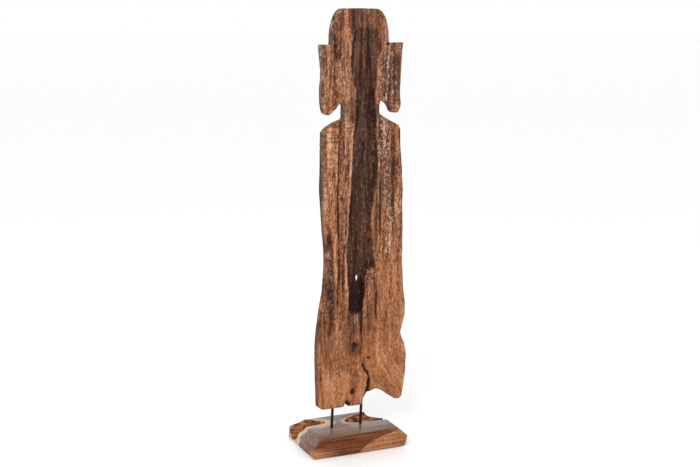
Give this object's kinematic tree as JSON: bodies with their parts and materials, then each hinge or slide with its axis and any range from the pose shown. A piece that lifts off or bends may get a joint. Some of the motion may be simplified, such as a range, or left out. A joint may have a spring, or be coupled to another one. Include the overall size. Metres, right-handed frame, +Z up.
{
  "type": "carved ancestor figure",
  "caption": "Flat standing human silhouette with long ear lobes, sawn from a weathered plank, held by steel pins above a bevelled wooden base.",
  "frame": {"origin": "on the floor, at the middle of the whole object's outline seen from above", "axes": "+Z up along the figure, +X across the figure towards its right side as seen from the front, the front facing -Y"},
  "size_m": [0.3837, 0.243, 1.5],
  "materials": {
    "weathered_teak": "raw weathered reclaimed teak with open grain, sanded back in places",
    "lacquered_teak": "satin clear lacquer over sawn teak, natural surface in the hollows",
    "blackened_steel": "satin black oxide round bar",
    "felt": "dense dark needle felt"
  },
  "bodies": {
    "root": {"figure_plank": "weathered_teak", "base_block": "lacquered_teak", "pin_left": "blackened_steel", "pin_right": "blackened_steel", "floor_pad_front_left": "felt", "floor_pad_front_right": "felt", "floor_pad_back_left": "felt", "floor_pad_back_right": "felt"}
  },
  "joints": []
}
